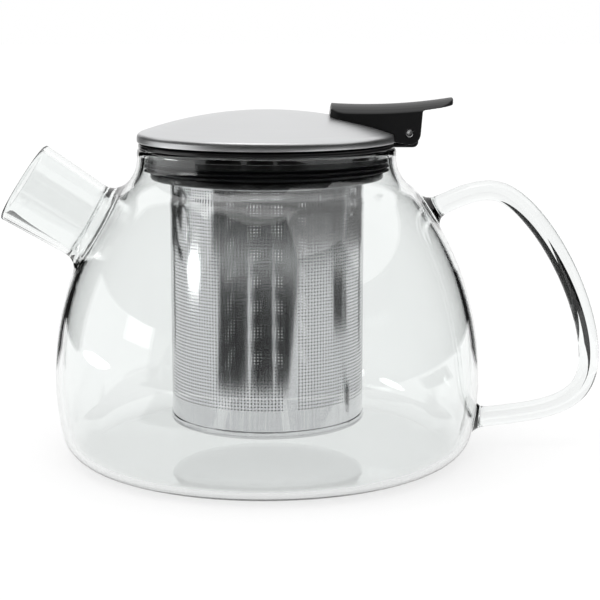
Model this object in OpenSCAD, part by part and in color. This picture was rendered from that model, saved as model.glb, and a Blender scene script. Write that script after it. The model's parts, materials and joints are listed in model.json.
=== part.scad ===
// Glass teapot with a lift-out strainer and a hinged lid.
// Millimetres. +Z is up, the pot's axis is Z, and the underside of the pot is at z = 0.
// The spout points to -X and the handle to +X.

/* [Pot] */
// Largest radius of the glass pot
body_r = 71.9; // [60:0.1:90]
// Height of the widest point
belly_z = 26.5; // [20:0.5:34]
// Height of the glass rim
rim_z = 104; // [86:0.5:126]
// Outer radius of the neck
neck_r = 43.3; // [37:0.1:52]
// Straight height of the neck below the rim
neck_h = 3.5; // [2:0.5:6]
// Hollow radius under the neck
neck_fillet = 11.5; // [8:0.5:14]
// Hollow radius inside the neck, smaller so that the bore stays straight behind the seal
bore_fillet = 5; // [3:0.5:8]
// Slope of the shoulder where it leaves the neck, in degrees from upright
shoulder_angle = 54; // [45:1:62]
// Rounding of the shoulder
shoulder_r = 12; // [8:0.5:24]
// Rounding where the side meets the underside
corner_r = 10; // [6:0.5:11]
// How far the flat underside stops short of the widest radius
foot_inset = 11.8; // [11.5:0.1:20]
// Wall of the blown glass
glass_wall = 2.4; // [1.8:0.1:3]

/* [Spout] */
// Depth below the glass rim at which the spout's axis leaves the pot
spout_drop = 26.5; // [24:0.5:44]
// Rise of the spout in degrees
spout_tilt = 32.3; // [20:0.5:45]
// Length of the spout along its axis
spout_len = 28; // [20:0.5:40]
// Outer radius of the spout near the pot
spout_r = 13.2; // [10:0.1:15]
// Outer radius of the mouth
mouth_r = 14.5; // [11:0.1:18]
// Wall of the spout
spout_wall = 2; // [1.5:0.1:2.8]
// Hollow radius where the spout is fused to the pot
spout_fillet = 4; // [2:0.5:6]

/* [Handle] */
// Radius of the glass rod
rod_r = 3.4; // [2.8:0.1:4.5]
// How much the rod swells at each fused end
root_swell = 0.7; // [0:0.1:1.5]
// Depth of the upper end below the glass rim
handle_drop = 21.5; // [20:0.5:38]
// Height of the lower end on the pot
handle_low_z = 10.6; // [9.5:0.1:14]
// How far the outside of the handle stands from the pot's widest point
handle_reach = 41.4; // [30:0.1:55]
// Distance of the handle's crest from the pot's neck
crest_out = 31.6; // [26:0.1:40]
// Rise of the crest above the upper end
crest_up = 6.9; // [2:0.1:10]
// Height of the handle's outermost point
side_z = 32; // [24:0.5:40]

/* [Collar] */
// Overhang of the flange across the glass rim, short of the neck's outside
flange_inset = 0.5; // [0.2:0.1:1.5]
// Thickness of the flange
flange_h = 1.4; // [1:0.1:2.5]
// Depth of the skirt below the glass rim
skirt_depth = 10.8; // [9:0.1:16]
// Gap between the skirt and the glass
skirt_gap = 0.4; // [0.3:0.05:0.8]
// Height of the silicone seal
seal_h = 4; // [3.5:0.1:5]
// Running clearance of the seal's lips in the neck
lip_gap = 0.05; // [0.02:0.01:0.1]
// Height of the collar's lower edge under the seal
toe_h = 2.7; // [2:0.1:4]
// Gap between the flange and the glass rim
seat_gap = 0.1; // [0.05:0.05:0.3]

/* [Strainer] */
// How far the strainer tube stands inside the neck
sieve_inset = 8.4; // [8.1:0.1:14]
// Height of the strainer's underside
sieve_z = 11.7; // [6:0.1:20]
// Sheet thickness of the strainer
sieve_wall = 0.4; // [0.3:0.05:0.8]
// Height of the cup pressed over the foot of the tube
cup_h = 2.6; // [2:0.1:6]
// Width of the rim that hangs in the collar
sieve_rim = 3.7; // [2.5:0.1:4]
// Gap between the tube and the collar's bore
sieve_gap = 0.7; // [0.4:0.1:1]
// Height of the ring that holds the rim down
keeper_h = 1.9; // [1.2:0.1:2.5]

/* [Lid] */
// How far the dome stops short of the neck's outside
lid_inset = 0.05; // [0:0.05:1]
// Rise of the dome above its edge
dome_rise = 6.9; // [4:0.1:14]
// Height of the upright edge of the dome
hem_h = 1.2; // [0.8:0.1:2]
// Rounding between the dome and its edge
hem_r = 2; // [1.2:0.1:3]
// Thickness of the steel sheet
lid_wall = 0.6; // [0.4:0.1:1]
// Gap between the liner and the flange
lid_gap = 0.5; // [0.3:0.1:0.8]
// Thickness of the liner's plate
liner_h = 1.4; // [1:0.1:2]
// Depth of the plug below the plate
plug_h = 3.1; // [2:0.1:3.2]
// Gap between the plug and the collar
plug_gap = 0.8; // [0.5:0.1:1.2]
// Wall of the plug
plug_wall = 2; // [1.2:0.1:3]

/* [Hinge] */
// Distance of the hinge pin outside the dome's edge
pin_out = 3.75; // [3.6:0.05:5]
// Height of the hinge pin above the flange
pin_up = 3.7; // [3.4:0.1:5]
// Outer radius of the hollow pin
pin_r = 1.25; // [1:0.05:1.55]
// Bore of the hollow pin
pin_bore_r = 0.75; // [0.5:0.05:0.9]
// Running clearance between the pin and the lug
pin_gap = 0.05; // [0.02:0.01:0.1]
// Width of the collar's lug
lug_w = 8; // [6:0.1:10]
// Radius of the lug round the pin
lug_r = 3.4; // [2.6:0.1:3.4]
// Gap on each side of the lug
lug_gap = 0.35; // [0.3:0.05:0.6]

/* [Lever] */
// Width of the thumb lever
lever_w = 20; // [16:0.1:26]
// Distance of the lever's inner end from the dome's edge
lever_in = 21.7; // [16:0.1:26]
// Distance of the lever's thumb tip outside the dome's edge
lever_out = 18.6; // [12:0.1:24]
// Height of the lever above the top of the dome
lever_up = 2; // [1:0.1:4]
// Radius of the hollow along the lever's top
lever_sweep_r = 180; // [120:5:400]
// Distance of the lowest point of the hollow from the dome's edge
lever_low_in = 10; // [0:0.5:16]
// Radius of the crown across the lever's top
lever_crown_r = 20.5; // [16:0.5:60]
// Thickness of the thumb tip
tip_h = 2.3; // [1.6:0.1:4]
// Radius of each cheek round the pin
cheek_r = 3.8; // [3.4:0.1:4.4]
// Radius of each screw's shank
screw_r = 1.2; // [0.9:0.1:1.6]
// Radius of each screw's head
screw_head_r = 2.4; // [2:0.1:3]
// Height of each screw's head
screw_head_h = 1; // [0.8:0.1:1.3]
// Distance of the outer screw from the dome's edge
screw_in = 8; // [7:0.1:9]
// Distance between the two screws
screw_pitch = 8; // [6:0.1:9]
// How far the screws reach into the lever
screw_bite = 3.2; // [2:0.1:4]

/* [Hidden] */
$fn = 96;
eps = 0.01;
glass_tint = [0.86, 0.90, 0.91, 0.35];
black = [0.07, 0.07, 0.075];
soft_black = [0.12, 0.12, 0.125];
steel = [0.74, 0.75, 0.76];

// ---- geometry helpers

function arc_points(c, r, a0, a1, n, skip = 1) =
  [for (i = [skip:n]) let (a = a0 + (a1 - a0) * i / n) c + r * [cos(a), sin(a)]];

function reversed(list) = [for (i = [len(list) - 1:-1:0]) list[i]];

function bezier(a, b, c, d, t) =
  pow(1 - t, 3) * a + 3 * pow(1 - t, 2) * t * b + 3 * (1 - t) * t * t * c + t * t * t * d;

// Radius of the arc that starts upright at [x0, z0] and runs on into a circle [c, r]
function joining_r(c, r, x0, z0) =
  let (a = c[0] - x0, b = c[1] - z0)
  (r * r - a * a - b * b) / (2 * (a + r));

// ---- the pot's outline: neck, hollow, shoulder, side, lower side, corner, underside

neck_z = rim_z - neck_h;
neck_c = [neck_r + neck_fillet, neck_z];
slope = [cos(180 + shoulder_angle), sin(180 + shoulder_angle)];
shoulder_c = neck_c + (neck_fillet + shoulder_r) * slope;
side_r = joining_r(shoulder_c, shoulder_r, body_r, belly_z);
side_c = [body_r - side_r, belly_z];
side_a = atan2(shoulder_c[1] - side_c[1], shoulder_c[0] - side_c[0]);
corner_c = [body_r - foot_inset, corner_r];
lower_r = joining_r(corner_c, corner_r, body_r, belly_z);
lower_c = [body_r - lower_r, belly_z];
lower_a = atan2(corner_c[1] - lower_c[1], corner_c[0] - lower_c[0]);

// From the shoulder down to the underside's centre, moved inwards by w
function pot_below_shoulder(w) = concat(
  arc_points(side_c, side_r - w, side_a, 0, 14),
  arc_points(lower_c, lower_r - w, 0, lower_a, 5),
  arc_points(corner_c, corner_r - w, lower_a, -90, 10),
  [[0, w]]
);

// The outside of the pot, from the neck down to the underside's centre
outer_line = concat(
  [[neck_r, neck_z]],
  arc_points(neck_c, neck_fillet, 180, 180 + shoulder_angle, 8),
  arc_points(shoulder_c, shoulder_r, shoulder_angle, side_a, 4),
  pot_below_shoulder(0)
);

// The inside has a straighter neck and then keeps the wall's thickness
neck_bore_r = neck_r - glass_wall;
bore_c = let (x = neck_bore_r + bore_fillet, r = bore_fillet + shoulder_r - glass_wall)
  [x, shoulder_c[1] + sqrt(r * r - pow(x - shoulder_c[0], 2))];
bore_a = atan2(bore_c[1] - shoulder_c[1], bore_c[0] - shoulder_c[0]);
inner_line = concat(
  [[neck_bore_r, bore_c[1]]],
  arc_points(bore_c, bore_fillet, 180, 180 + bore_a, 6),
  arc_points(shoulder_c, shoulder_r - glass_wall, bore_a, side_a, 6),
  pot_below_shoulder(glass_wall)
);

outer_table = [for (p = outer_line) [p[1], p[0]]];

// Outer radius of the pot at a height on its side
function pot_r_at(z) = lookup(z, [for (i = [len(outer_table) - 2:-1:0]) outer_table[i]]);

rim_c = [neck_r - glass_wall / 2, rim_z - glass_wall / 2];
spout_z = rim_z - spout_drop;
handle_top_z = rim_z - handle_drop;

module pot_solid() {
  rotate_extrude()
    polygon(concat([[0, rim_z - glass_wall], [neck_r, rim_z - glass_wall]], outer_line));
}

// ---- spout

spout_root = [-pot_r_at(spout_z), 0, spout_z];
spout_bore_r = spout_r - spout_wall;
spout_sink = spout_r * spout_r / pot_r_at(spout_z);
spout_start = spout_fillet - spout_sink;
spout_depth = spout_sink + 3 * glass_wall;

module on_spout_axis() {
  translate(spout_root)
    rotate([0, spout_tilt - 90, 0])
      children();
}

module spout_passage() {
  on_spout_axis()
    translate([0, 0, -spout_depth - eps])
      cylinder(r = spout_bore_r, h = spout_depth + spout_start + eps);
}

module glass_body() {
  lip = arc_points(rim_c, glass_wall / 2, 0, 180, 12, 0);
  color(glass_tint)
    difference() {
      rotate_extrude()
        polygon(concat(reversed(outer_line), lip, inner_line));
      spout_passage();
    }
}

module glass_spout() {
  fillet_c = [spout_r + spout_fillet, spout_start];
  mouth_c = [mouth_r - spout_wall / 2, spout_len - spout_wall / 2];
  flare = arc_points(fillet_c, spout_fillet, 270, 180, 6, 0);
  mouth = arc_points(mouth_c, spout_wall / 2, 0, 180, 8, 0);
  foot = [[spout_bore_r, -spout_depth], [spout_r + spout_fillet, -spout_depth]];
  color(glass_tint)
    difference() {
      on_spout_axis()
        rotate_extrude()
          polygon(concat(foot, flare, mouth, [[spout_bore_r, spout_start]]));
      pot_solid();
    }
}

// ---- handle: a bent rod along three curves in the XZ plane

top_dip = 0.6;
low_dip = 0.1;
handle_a = [pot_r_at(handle_top_z) - glass_wall, handle_top_z - top_dip];
handle_b = [neck_r + crest_out, handle_top_z + crest_up];
handle_c = [body_r + handle_reach - rod_r, side_z];
handle_d = [pot_r_at(handle_low_z) - glass_wall, handle_low_z - low_dip];
// How far each curve runs straight on from its ends, as a length or a share of its height or width
top_pull = [8.3, 3.2];
crest_pull = 8;
crest_soft = 14.8;
side_share = 0.36;
low_share = 0.82;
foot_share = 0.65;
foot_rise = 0.105;
side_soft = (handle_b[1] - handle_c[1]) * side_share;
low_soft = (handle_c[1] - handle_d[1]) * low_share;
foot_soft = (handle_c[0] - handle_d[0]) * foot_share;
swell_steps = 5;

function handle_path() = concat(
  [for (i = [0:7])
    bezier(handle_a, handle_a + top_pull, handle_b - [crest_pull, 0], handle_b, i / 8)],
  [for (i = [0:21])
    bezier(handle_b, handle_b + [crest_soft, 0], handle_c + [0, side_soft], handle_c, i / 22)],
  [for (i = [0:20])
    bezier(handle_c, handle_c - [0, low_soft], handle_d + foot_soft * [1, foot_rise], handle_d, i / 20)]
);

// A round bar along a path in the XZ plane, with its own radius at each point
module bent_rod(path, radii, sides = 16) {
  n = len(path);
  run = [for (i = [0:n - 1]) path[min(i + 1, n - 1)] - path[max(i - 1, 0)]];
  points = [for (i = [0:n - 1]) for (k = [0:sides - 1])
    let (d = run[i] / norm(run[i]), a = 360 * k / sides)
    [path[i][0] - radii[i] * cos(a) * d[1], radii[i] * sin(a), path[i][1] + radii[i] * cos(a) * d[0]]];
  walls = [for (i = [0:n - 2]) for (k = [0:sides - 1])
    [i * sides + k, (i + 1) * sides + k, (i + 1) * sides + (k + 1) % sides, i * sides + (k + 1) % sides]];
  ends = [[for (k = [0:sides - 1]) k], [for (k = [sides - 1:-1:0]) (n - 1) * sides + k]];
  polyhedron(points, concat(walls, ends), convexity = 6);
}

module glass_handle() {
  path = handle_path();
  last = len(path) - 1;
  swell = [for (i = [0:last]) rod_r + root_swell * max(0, 1 - min(i, last - i) / swell_steps)];
  color(glass_tint)
    difference() {
      bent_rod(path, swell);
      pot_solid();
    }
}

// ---- collar and what it carries

sieve_r = neck_bore_r - sieve_inset;
lid_r = neck_r - lid_inset;
flange_z = rim_z + seat_gap;
flange_top = flange_z + flange_h;
flange_r = neck_r - flange_inset;
skirt_r = neck_bore_r - skirt_gap;
skirt_z = rim_z - skirt_depth;
seal_z = skirt_z + toe_h;
seal_top = seal_z + seal_h;
groove_depth = 2.9;
groove_r = skirt_r - groove_depth;
seal_back = 1;
toe_step = 1.6;
toe_r = skirt_r - toe_step;
collar_bore_r = sieve_r + sieve_gap;
rim_ring_r = sieve_r + sieve_rim;
rim_play = 0.2;
ledge_r = rim_ring_r + rim_play;
ledge_drop = 0.3;
ledge_z = seal_top - ledge_drop;

pin_x = lid_r + pin_out;
pin_z = flange_top + pin_up;
lug_clear = 0.45;
lug_in = lid_r + lug_clear;

module bar_y(r, w) {
  rotate([90, 0, 0])
    cylinder(r = r, h = w, center = true);
}

module collar() {
  edge = 0.5;
  toe_round = 1.4;
  ring = concat(
    [[collar_bore_r, skirt_z]],
    arc_points([toe_r - toe_round, skirt_z + toe_round], toe_round, -90, 0, 6, 0),
    [[toe_r, seal_z], [groove_r, seal_z], [groove_r, seal_top], [skirt_r, seal_top]],
    [[skirt_r, flange_z]],
    arc_points([flange_r - edge, flange_z + edge], edge, -90, 0, 4, 0),
    arc_points([flange_r - edge, flange_top - edge], edge, 0, 90, 4, 0),
    [[ledge_r, flange_top], [ledge_r, ledge_z], [collar_bore_r, ledge_z]]
  );
  tongue = pin_x + lug_r - skirt_r;
  color(black)
    difference() {
      union() {
        rotate_extrude()
          polygon(ring);
        translate([skirt_r, -lug_w / 2, flange_z])
          cube([tongue, lug_w, flange_h]);
        translate([lug_in, -lug_w / 2, flange_z])
          cube([pin_x + lug_r - lug_in, lug_w, pin_z - flange_z]);
        intersection() {
          translate([pin_x, 0, pin_z])
            bar_y(lug_r, lug_w);
          translate([lug_in, -lug_w, pin_z - lug_r])
            cube([3 * lug_r, 2 * lug_w, 2 * lug_r]);
        }
      }
      translate([pin_x, 0, pin_z])
        bar_y(pin_r + pin_gap, 2 * lug_w);
    }
}

module seal_ring() {
  lip_r = neck_bore_r - lip_gap;
  lip_h = 0.5;
  lip_z = 0.8;
  lip_pitch = 1.6;
  root_r = groove_r + seal_back;
  color(soft_black) {
    difference() {
      union() {
        translate([0, 0, seal_z])
          cylinder(r = root_r, h = seal_h);
        for (z = [seal_z + lip_z, seal_z + lip_z + lip_pitch])
          translate([0, 0, z])
            cylinder(r = lip_r, h = lip_h);
      }
      translate([0, 0, seal_z - 1])
        cylinder(r = groove_r, h = seal_h + 2);
    }
  }
}

module tube(r_out, r_in, z, h) {
  translate([0, 0, z])
    difference() {
      cylinder(r = r_out, h = h);
      translate([0, 0, -1])
        cylinder(r = r_in, h = h + 2);
    }
}

rim_ring_z = ledge_z;
keeper_z = rim_ring_z + sieve_wall;

module sieve_rim_ring() {
  color(steel)
    tube(rim_ring_r, sieve_r - sieve_wall, rim_ring_z, sieve_wall);
}

module keeper_ring() {
  color(black)
    tube(ledge_r, collar_bore_r, keeper_z, keeper_h);
}

module sieve_wall_tube() {
  foot_z = sieve_z + sieve_wall;
  color(steel)
    tube(sieve_r, sieve_r - sieve_wall, foot_z, rim_ring_z - foot_z);
}

module sieve_cup() {
  r = sieve_r + sieve_wall;
  corner = 1.2;
  shell = concat(
    [[0, sieve_z]],
    arc_points([r - corner, sieve_z + corner], corner, -90, 0, 5, 0),
    [[r, sieve_z + cup_h], [sieve_r, sieve_z + cup_h], [sieve_r, sieve_z + sieve_wall]],
    [[0, sieve_z + sieve_wall]]
  );
  color(steel)
    rotate_extrude()
      polygon(shell);
}

// ---- lid

liner_z = flange_top + lid_gap;
hem_lift = 0.15;
hem_z = liner_z + hem_lift;
hem_top = hem_z + hem_h;
dome_edge = [lid_r - hem_r, hem_top];
dome_top = hem_top + hem_r + dome_rise;
// The dome's sphere passes through the top and runs on into the rounded edge
dome_r = let (b = dome_top - hem_top)
  (dome_edge[0] * dome_edge[0] + b * b - hem_r * hem_r) / (2 * (b - hem_r));
dome_c = [0, dome_top - dome_r];
dome_a = atan2(dome_edge[1] - dome_c[1], dome_edge[0]);

function dome_line(w) = concat(
  [[lid_r - w, hem_z]],
  arc_points(dome_edge, hem_r - w, 0, dome_a, 5, 0),
  arc_points(dome_c, dome_r - w, dome_a, 90, 16)
);

// Height of the dome's outside at a distance from the axis
function dome_z_at(x) = dome_c[1] + sqrt(dome_r * dome_r - x * x);

screw_x = [lid_r - screw_in, lid_r - screw_in - screw_pitch];

// The room that the closed lid takes up under the lever
module lid_solid() {
  intersection() {
    translate([0, 0, dome_c[1]])
      sphere(r = dome_r, $fn = 240);
    cylinder(r = lid_r, h = dome_top + 1);
  }
}

module screw_holes(r) {
  for (x = screw_x)
    translate([x, 0, liner_z - 1])
      cylinder(r = r, h = dome_top);
}

module lid_dome() {
  color(steel)
    difference() {
      rotate_extrude()
        polygon(concat(dome_line(0), reversed(dome_line(lid_wall))));
      screw_holes(screw_r);
    }
}

module lid_liner() {
  plate_r = lid_r - lid_wall;
  boss_r = 3.2;
  plug_r = ledge_r - plug_gap;
  color(black)
    difference() {
      union() {
        translate([0, 0, liner_z])
          cylinder(r = plate_r, h = liner_h);
        tube(plug_r, plug_r - plug_wall, liner_z - plug_h, plug_h + eps);
        intersection() {
          for (x = screw_x)
            translate([x, 0, liner_z])
              cylinder(r = boss_r, h = dome_top);
          rotate_extrude()
            polygon(concat([[0, liner_z]], dome_line(lid_wall)));
        }
      }
      screw_holes(screw_r);
      for (x = screw_x)
        translate([x, 0, liner_z - 1])
          cylinder(r = screw_head_r, h = 1 + screw_head_h);
    }
}

module lever_screws() {
  color(steel)
    for (x = screw_x)
      translate([x, 0, liner_z]) {
        cylinder(r = screw_head_r, h = screw_head_h);
        cylinder(r = screw_r, h = dome_z_at(x) + screw_bite - liner_z);
      }
}

// ---- thumb lever, which is fixed to the dome and turns with it

lever_x0 = lid_r - lever_in;
lever_x1 = lid_r + lever_out;
lever_low_x = lid_r - lever_low_in;
lever_top_z = dome_top + lever_up;
sweep_c = [lever_low_x, lever_top_z + lever_sweep_r];
tip_z = sweep_c[1] - sqrt(pow(lever_sweep_r, 2) - pow(lever_x1 - lever_low_x, 2));
cheek_back = pin_x + cheek_r;
cheek_lean = 0.6;
cheek_drop = 1.6;
cheek_top = tip_z - tip_h - cheek_drop;

// The lever seen from the side, taller than it ends up so that the hollow can be cut from it
module lever_side() {
  over = 6;
  under_dome = 3;
  belly = [lid_r - 8, hem_top - 1];
  heel = [lid_r - 0.6, pin_z - cheek_r + 0.9];
  polygon(concat(
    [[lever_x0 - 1, dome_z_at(lever_x0) - under_dome], belly, heel],
    arc_points([pin_x, pin_z], cheek_r, -110, 0, 10, 0),
    [[cheek_back + cheek_lean, cheek_top], [lever_x1 + cheek_lean, tip_z - tip_h]],
    [[lever_x1, tip_z + over], [lever_x0 + 1, tip_z + over]]
  ));
}

// The lever seen from above, as an upright block: full width with rounded corners at both ends
module lever_plan() {
  r0 = 6;
  r1 = 8;
  half = lever_w / 2;
  x0 = lever_x0 - 1.5;
  tall = 2 * lever_top_z;
  translate([x0 + r0, -half, 0])
    cube([lever_x1 - r1 - x0 - r0, lever_w, tall]);
  translate([x0, r0 - half, 0])
    cube([2 * r0, lever_w - 2 * r0, tall]);
  translate([lever_x1 - 2 * r1, r1 - half, 0])
    cube([2 * r1, lever_w - 2 * r1, tall]);
  for (side = [-1, 1]) {
    translate([x0 + r0, side * (half - r0), 0])
      cylinder(r = r0, h = tall);
    translate([lever_x1 - r1, side * (half - r1), 0])
      cylinder(r = r1, h = tall);
  }
}

// What is above the lever: hollow along its length and crowned across its width
module lever_hollow() {
  half = lever_w / 2 + 1;
  steps = 12;
  crown = [for (i = [0:steps])
    let (y = -half + 2 * half * i / steps)
    [lever_sweep_r + lever_crown_r - sqrt(pow(lever_crown_r, 2) - y * y), y]];
  translate([sweep_c[0], 0, sweep_c[1]])
    rotate([90, 0, 0])
      rotate_extrude($fn = 360)
        polygon(concat([[0, -half]], crown, [[0, half]]));
}

module thumb_lever() {
  slot_round = 1.4;
  slot_r = lug_r + lug_gap + slot_round;
  slot_w = lug_w + 2 * lug_gap;
  color(black)
    difference() {
      intersection() {
        rotate([90, 0, 0])
          linear_extrude(height = lever_w + 2, center = true)
            lever_side();
        lever_plan();
      }
      lever_hollow();
      lid_solid();
      translate([pin_x, 0, pin_z])
        bar_y(slot_r, slot_w);
      translate([pin_x - slot_r, -slot_w / 2, pin_z - 2 * slot_r])
        cube([3 * slot_r, slot_w, 2 * slot_r]);
      translate([pin_x, 0, pin_z])
        bar_y(pin_r, 2 * lever_w);
      for (x = screw_x)
        translate([x, 0, liner_z])
          cylinder(r = screw_r, h = dome_z_at(x) + screw_bite - liner_z);
    }
}

module hinge_pin() {
  color(steel)
    translate([pin_x, 0, pin_z])
      difference() {
        bar_y(pin_r, lever_w);
        bar_y(pin_bore_r, lever_w + 2);
      }
}

glass_body();
glass_spout();
glass_handle();
collar();
seal_ring();
keeper_ring();
sieve_rim_ring();
sieve_wall_tube();
sieve_cup();
lid_dome();
lid_liner();
thumb_lever();
hinge_pin();
lever_screws();
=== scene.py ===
import bpy
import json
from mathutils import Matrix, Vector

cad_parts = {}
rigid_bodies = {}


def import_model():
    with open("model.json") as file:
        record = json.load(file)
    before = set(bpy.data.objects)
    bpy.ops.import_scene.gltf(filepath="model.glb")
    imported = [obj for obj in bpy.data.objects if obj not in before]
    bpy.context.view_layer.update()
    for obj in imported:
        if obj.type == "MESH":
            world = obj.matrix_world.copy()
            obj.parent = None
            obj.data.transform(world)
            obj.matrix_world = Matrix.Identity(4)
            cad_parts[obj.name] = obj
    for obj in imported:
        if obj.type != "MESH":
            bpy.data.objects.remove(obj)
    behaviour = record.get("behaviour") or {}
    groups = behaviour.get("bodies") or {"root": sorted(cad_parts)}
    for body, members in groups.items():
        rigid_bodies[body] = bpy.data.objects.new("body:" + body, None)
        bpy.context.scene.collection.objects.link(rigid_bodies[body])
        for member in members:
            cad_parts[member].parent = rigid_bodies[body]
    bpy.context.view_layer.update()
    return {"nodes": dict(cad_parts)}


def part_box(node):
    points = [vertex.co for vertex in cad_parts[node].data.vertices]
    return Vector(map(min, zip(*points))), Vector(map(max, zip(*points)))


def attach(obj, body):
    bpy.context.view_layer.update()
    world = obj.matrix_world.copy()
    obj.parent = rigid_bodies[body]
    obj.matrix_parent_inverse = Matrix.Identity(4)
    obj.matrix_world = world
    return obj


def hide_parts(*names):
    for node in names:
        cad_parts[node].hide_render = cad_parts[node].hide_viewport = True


for spare in list(bpy.data.objects):
    bpy.data.objects.remove(spare)
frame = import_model()

import json
import math
import bmesh
import numpy as np
from mathutils import Matrix, Vector

# Lengths are in millimetres up to the last step of each piece, where mm makes them metres
mm = 0.001
nodes = frame["nodes"]
print("frame loaded:", len(nodes), "CAD nodes")


# Small tools

def boxOf(node):
    low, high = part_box(node)
    return [v / mm for v in low], [v / mm for v in high]


def arcPoints(centre, radius, start, end, steps, skip=0):
    angles = np.radians(np.linspace(start, end, steps + 1))[skip:]
    return [(centre[0] + radius * math.cos(a), centre[1] + radius * math.sin(a)) for a in angles]


def meshObject(name, points, faces, material, smoothAngle=180):
    mesh = bpy.data.meshes.new(name)
    mesh.from_pydata((np.asarray(points, float) * mm).tolist(), [], faces)
    mesh.update()
    return finishMesh(name, mesh, material, smoothAngle)


def finishMesh(name, mesh, material, smoothAngle=180):
    mesh.name = name
    mesh.materials.clear()
    mesh.materials.append(material)
    mesh.polygons.foreach_set("use_smooth", [True] * len(mesh.polygons))
    if smoothAngle < 180:
        mesh.set_sharp_from_angle(angle=math.radians(smoothAngle))
    piece = bpy.data.objects.new(name, mesh)
    bpy.context.scene.collection.objects.link(piece)
    return piece


# A closed outline of (radius, height), counter-clockwise, turned round the upright axis.
# An outline that starts and ends on the axis closes itself there with two fans.
def turned(outline, columns, onAxis=False):
    outline = [(float(r), float(z)) for r, z in outline]
    rows = outline[1:-1] if onAxis else outline
    angles = np.linspace(0, 2 * math.pi, columns, endpoint=False)
    points = [(r * math.cos(a), r * math.sin(a), z) for r, z in rows for a in angles]
    faces = []
    for j in range(len(rows) - (1 if onAxis else 0)):
        up = (j + 1) % len(rows)
        for i in range(columns):
            side = (i + 1) % columns
            faces.append((j * columns + i, j * columns + side, up * columns + side, up * columns + i))
    if onAxis:
        first, last = len(points), len(points) + 1
        points += [(0, 0, outline[0][1]), (0, 0, outline[-1][1])]
        top = (len(rows) - 1) * columns
        for i in range(columns):
            side = (i + 1) % columns
            faces.append((first, side, i))
            faces.append((last, top + i, top + side))
    return points, faces


def joined(parts):
    points, faces = [], []
    for somePoints, someFaces in parts:
        start = len(points)
        points += [tuple(p) for p in somePoints]
        faces += [tuple(start + v for v in f) for f in someFaces]
    return points, faces


# Corners of (radius, height, rounding) as one line with an arc at each corner
def rounded(corners, steps=4):
    line = []
    for k, (x, z, r) in enumerate(corners):
        here = np.array([x, z], float)
        if r <= 0:
            line.append((x, z))
            continue
        before = np.array(corners[k - 1][:2]) - here
        after = np.array(corners[(k + 1) % len(corners)][:2]) - here
        room = 0.49 * min(np.hypot(*before), np.hypot(*after))
        a, b = before / np.hypot(*before), after / np.hypot(*after)
        half = math.acos(max(-1.0, min(1.0, float(a @ b)))) / 2
        reach = min(r / math.tan(half), room)
        centre = here + (a + b) / np.hypot(*(a + b)) * reach / math.cos(half)
        start, end = here + a * reach - centre, here + b * reach - centre
        sweep = math.pi - 2 * half
        for t in np.linspace(0, 1, steps + 1):
            spoke = (math.sin((1 - t) * sweep) * start + math.sin(t * sweep) * end) / math.sin(sweep)
            line.append(tuple(centre + spoke))
    return line


def along(line, step):
    line = np.asarray(line, float)
    run = np.concatenate([[0], np.cumsum(np.hypot(*np.diff(line, axis=0).T))])
    count = max(2, int(round(run[-1] / step)) + 1)
    at = np.linspace(0, run[-1], count)
    return np.stack([np.interp(at, run, line[:, 0]), np.interp(at, run, line[:, 1])], 1)


# Node writing

# A number socket that Python's own operators work on
class Num:
    def __init__(self, book, socket):
        self.book = book
        self.socket = socket

    def maths(self, operation, *others, flipped=False):
        terms = [self, *others]
        if flipped:
            terms.reverse()
        return self.book.node("ShaderNodeMath", {"operation": operation}, terms)

    def __add__(self, other):
        return self.maths("ADD", other)

    def __radd__(self, other):
        return self.maths("ADD", other, flipped=True)

    def __sub__(self, other):
        return self.maths("SUBTRACT", other)

    def __mul__(self, other):
        return self.maths("MULTIPLY", other)

    def __truediv__(self, other):
        return self.maths("DIVIDE", other)

    def __pow__(self, other):
        return self.maths("POWER", other)

    def __neg__(self):
        return self.maths("MULTIPLY", -1.0)


class NodeBook:
    def __init__(self, tree):
        self.tree = tree

    def plug(self, socket, value):
        if isinstance(value, Num):
            self.tree.links.new(value.socket, socket)
        elif isinstance(value, (tuple, list)) and len(value) == 3 and len(socket.default_value) == 4:
            socket.default_value = (*value, 1.0)
        else:
            socket.default_value = value

    def node(self, kind, settings=None, inputs=(), output=0):
        made = self.tree.nodes.new(kind)
        for name, value in (settings or {}).items():
            if name == "stops":
                ramp = made.color_ramp
                while len(ramp.elements) < len(value):
                    ramp.elements.new(0.5)
                for element, (place, colour) in zip(ramp.elements, value):
                    element.position = place
                    element.color = (*colour, 1.0)
            else:
                setattr(made, name, value)
        pairs = inputs.items() if isinstance(inputs, dict) else enumerate(inputs)
        for key, value in pairs:
            self.plug(made.inputs[key], value)
        if not made.outputs:
            return made
        return Num(self, made.outputs[output])

    def noise(self, vector, scale, detail=3.0, roughness=0.5):
        return self.node("ShaderNodeTexNoise", {}, {
            "Vector": vector, "Scale": scale, "Detail": detail, "Roughness": roughness}, "Fac")

    # 0 below low, 1 above high, smooth between
    def step(self, value, low, high):
        return self.node("ShaderNodeMapRange", {"interpolation_type": "SMOOTHSTEP"}, {
            "Value": value, "From Min": low, "From Max": high}, "Result")

    def stretched(self, vector, scale):
        return self.node("ShaderNodeVectorMath", {"operation": "MULTIPLY"}, [vector, scale])

    def mixed(self, factor, a, b):
        mix = self.tree.nodes.new("ShaderNodeMix")
        mix.data_type = "RGBA"
        self.plug(mix.inputs["Factor"], factor)
        self.plug(mix.inputs[6], a)
        self.plug(mix.inputs[7], b)
        return Num(self, mix.outputs[2])

    def bump(self, height, strength, distance):
        return self.node("ShaderNodeBump", {}, {
            "Height": height, "Strength": strength, "Distance": distance}, "Normal")


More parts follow.
